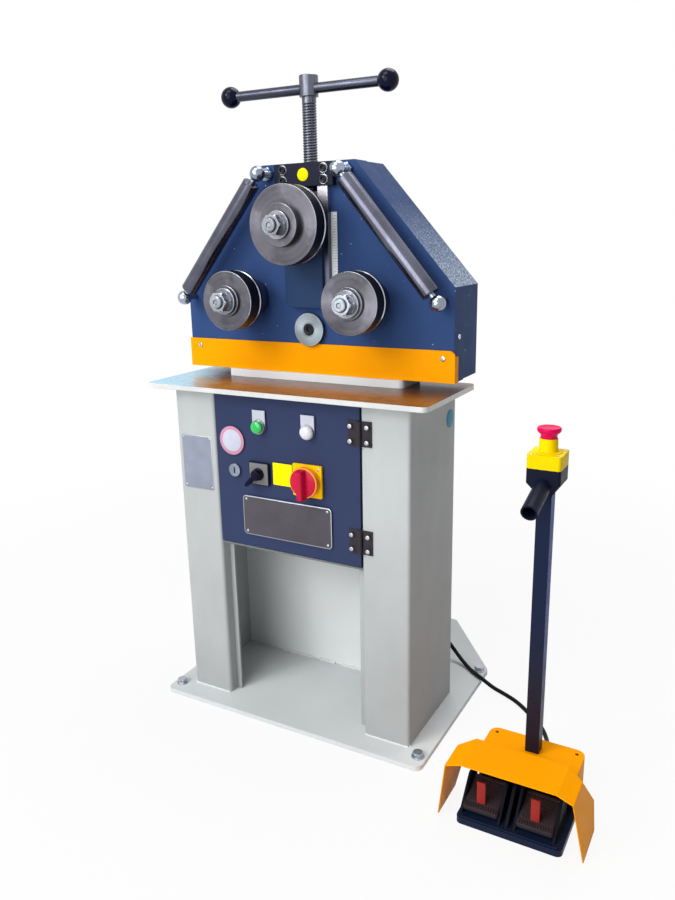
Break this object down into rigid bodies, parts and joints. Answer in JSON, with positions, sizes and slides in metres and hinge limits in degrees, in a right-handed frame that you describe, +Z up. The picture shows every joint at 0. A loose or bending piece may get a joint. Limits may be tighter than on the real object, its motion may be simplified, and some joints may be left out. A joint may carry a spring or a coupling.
{
  "type": "angle roll bender",
  "caption": "Floor-standing angle roll bender with driven lower rolls, a screw-fed upper roll, side support rollers and a cabled foot pedal station with a stop button.",
  "frame": {"origin": "centre of the base plate, on the floor", "axes": "+X to the machine's right, +Y to the back, away from the operator, +Z up"},
  "size_m": [0.9577, 0.7132, 1.298],
  "materials": {
    "stand_paint": "satin light grey paint",
    "blue_paint": "satin dark blue paint",
    "orange_paint": "gloss orange paint",
    "table_steel": "bare sheet steel with a brown mill finish",
    "bright_steel": "turned and ground steel",
    "dark_steel": "oiled steel",
    "bright_plating": "bright zinc and chrome plating",
    "hinge_metal": "dark grey",
    "nut_bronze": "bronze",
    "drive_paint": "grey blue paint",
    "electric_plastic": "moulded",
    "plate_metal": "bare plates",
    "black_plastic": "gloss black",
    "pole_paint": "dark powder coat",
    "pedal_plastic": "matt black",
    "yellow_plastic": "gloss yellow",
    "red_plastic": "gloss red",
    "green_plastic": "gloss green",
    "cable_rubber": "smooth black"
  },
  "bodies": {
    "frame": {"base_plate": "stand_paint", "fixing_bolts": "bright_plating", "left_leg": "stand_paint", "right_leg": "stand_paint", "back_panel": "stand_paint", "electrics_tray": "electric_plastic", "table_plate": "table_steel", "pedestal_plate": "stand_paint", "head_casing": "blue_paint", "head_cover": "blue_paint", "front_strip": "orange_paint", "slide_rails": "bright_steel", "cap_block": "dark_steel", "spindle_nut": "nut_bronze", "bearing_caps": "blue_paint", "shaft_bearings": "bright_steel", "gearbox": "drive_paint", "motor": "drive_paint", "support_posts": "bright_plating", "hinge_leaves": "hinge_metal", "pedal_base": "pedal_plastic", "pedal_hood": "orange_paint", "pedal_pole": "pole_paint", "stop_box": "black_plastic", "stop_cover": "yellow_plastic", "cable_glands": "pedal_plastic", "pedal_cable": "cable_rubber"},
    "upper_slide": {"slide_block": "blue_paint", "slide_apron": "blue_paint", "slide_bearings": "bright_steel", "spindle_retainer": "dark_steel"},
    "screw": {"spindle": "dark_steel", "turning_bar": "dark_steel", "ball_knobs": "black_plastic"},
    "upper_roller": {"upper_shaft": "bright_steel", "upper_roll": "bright_steel", "upper_roll_nut": "bright_plating"},
    "left_roller": {"left_shaft": "bright_steel", "left_roll": "bright_steel", "left_roll_nut": "bright_plating", "left_gear": "dark_steel"},
    "right_roller": {"right_shaft": "bright_steel", "right_roll": "bright_steel", "right_roll_nut": "bright_plating", "right_gear": "dark_steel"},
    "pinion": {"drive_pinion": "dark_steel", "pinion_disc": "bright_steel"},
    "left_support": {"left_support_roller": "dark_steel"},
    "right_support": {"right_support_roller": "dark_steel"},
    "door": {"door_panel": "blue_paint", "door_hinge_leaves": "hinge_metal", "door_plates": "plate_metal", "door_fittings": "electric_plastic"},
    "main_switch": {"switch_handle": "red_plastic"},
    "selector": {"selector_lever": "black_plastic"},
    "start": {"start_button": "green_plastic"},
    "door_lock": {"lock_barrel": "bright_plating"},
    "pedal_left": {"left_pedal": "pedal_plastic"},
    "pedal_right": {"right_pedal": "pedal_plastic"},
    "stop": {"stop_button": "red_plastic"}
  },
  "joints": [
    {"name": "slide_lift", "type": "slide", "parent": "frame", "child": "upper_slide", "axis": [0, 0, 1], "range_m": [-0.0905, 0.0085]},
    {"name": "spindle_turn", "type": "hinge", "parent": "upper_slide", "child": "screw", "pos_m": [0, -0.124, 1.2], "axis": [0, 0, 1], "range_deg": [-6480, 576]},
    {"name": "upper_roll_turn", "type": "hinge", "parent": "upper_slide", "child": "upper_roller", "pos_m": [0, -0.2, 1.026], "axis": [0, 1, 0], "continuous": true},
    {"name": "left_roll_turn", "type": "hinge", "parent": "frame", "child": "left_roller", "pos_m": [-0.137, -0.2, 0.884], "axis": [0, 1, 0], "continuous": true},
    {"name": "right_roll_turn", "type": "hinge", "parent": "frame", "child": "right_roller", "pos_m": [0.137, -0.2, 0.884], "axis": [0, 1, 0], "continuous": true},
    {"name": "pinion_turn", "type": "hinge", "parent": "frame", "child": "pinion", "pos_m": [0, -0.1, 0.82292], "axis": [0, 1, 0], "continuous": true},
    {"name": "left_support_turn", "type": "hinge", "parent": "frame", "child": "left_support", "pos_m": [-0.0886, -0.179, 1.124], "axis": [-0.6409, 0, -0.7676], "continuous": true},
    {"name": "right_support_turn", "type": "hinge", "parent": "frame", "child": "right_support", "pos_m": [0.0886, -0.179, 1.124], "axis": [0.6409, 0, -0.7676], "continuous": true},
    {"name": "door_swing", "type": "hinge", "parent": "frame", "child": "door", "pos_m": [0.168, -0.2595, 0.54], "axis": [0, 0, 1], "range_deg": [0, 110]},
    {"name": "main_switch_turn", "type": "hinge", "parent": "door", "child": "main_switch", "pos_m": [0.054, -0.26, 0.543], "axis": [0, 1, 0], "range_deg": [0, 90]},
    {"name": "selector_turn", "type": "hinge", "parent": "door", "child": "selector", "pos_m": [-0.06, -0.26, 0.543], "axis": [0, 1, 0], "range_deg": [0, 90]},
    {"name": "start_press", "type": "slide", "parent": "door", "child": "start", "axis": [0, 1, 0], "range_m": [0, 0.004], "stiffness_N_per_m": 300, "springref_m": -0.003},
    {"name": "lock_turn", "type": "hinge", "parent": "door", "child": "door_lock", "pos_m": [-0.1215, -0.25, 0.543], "axis": [0, -1, 0], "range_deg": [0, 90]},
    {"name": "left_pedal_press", "type": "hinge", "parent": "frame", "child": "pedal_left", "pos_m": [0.4607, -0.316, 0.042], "axis": [1, 0, 0], "range_deg": [0, 6], "stiffness_Nm_per_rad": 2, "springref_deg": -5.73},
    {"name": "right_pedal_press", "type": "hinge", "parent": "frame", "child": "pedal_right", "pos_m": [0.5563, -0.316, 0.042], "axis": [1, 0, 0], "range_deg": [0, 6], "stiffness_Nm_per_rad": 2, "springref_deg": -5.73},
    {"name": "stop_press", "type": "slide", "parent": "frame", "child": "stop", "axis": [0, 0, -1], "range_m": [0, 0.005]}
  ],
  "couplings": [
    {"joint": "slide_lift", "follows": "spindle_turn", "m_per_rad": 0.00079577},
    {"joint": "right_roll_turn", "follows": "left_roll_turn", "ratio": 1},
    {"joint": "pinion_turn", "follows": "left_roll_turn", "ratio": -2.75}
  ]
}
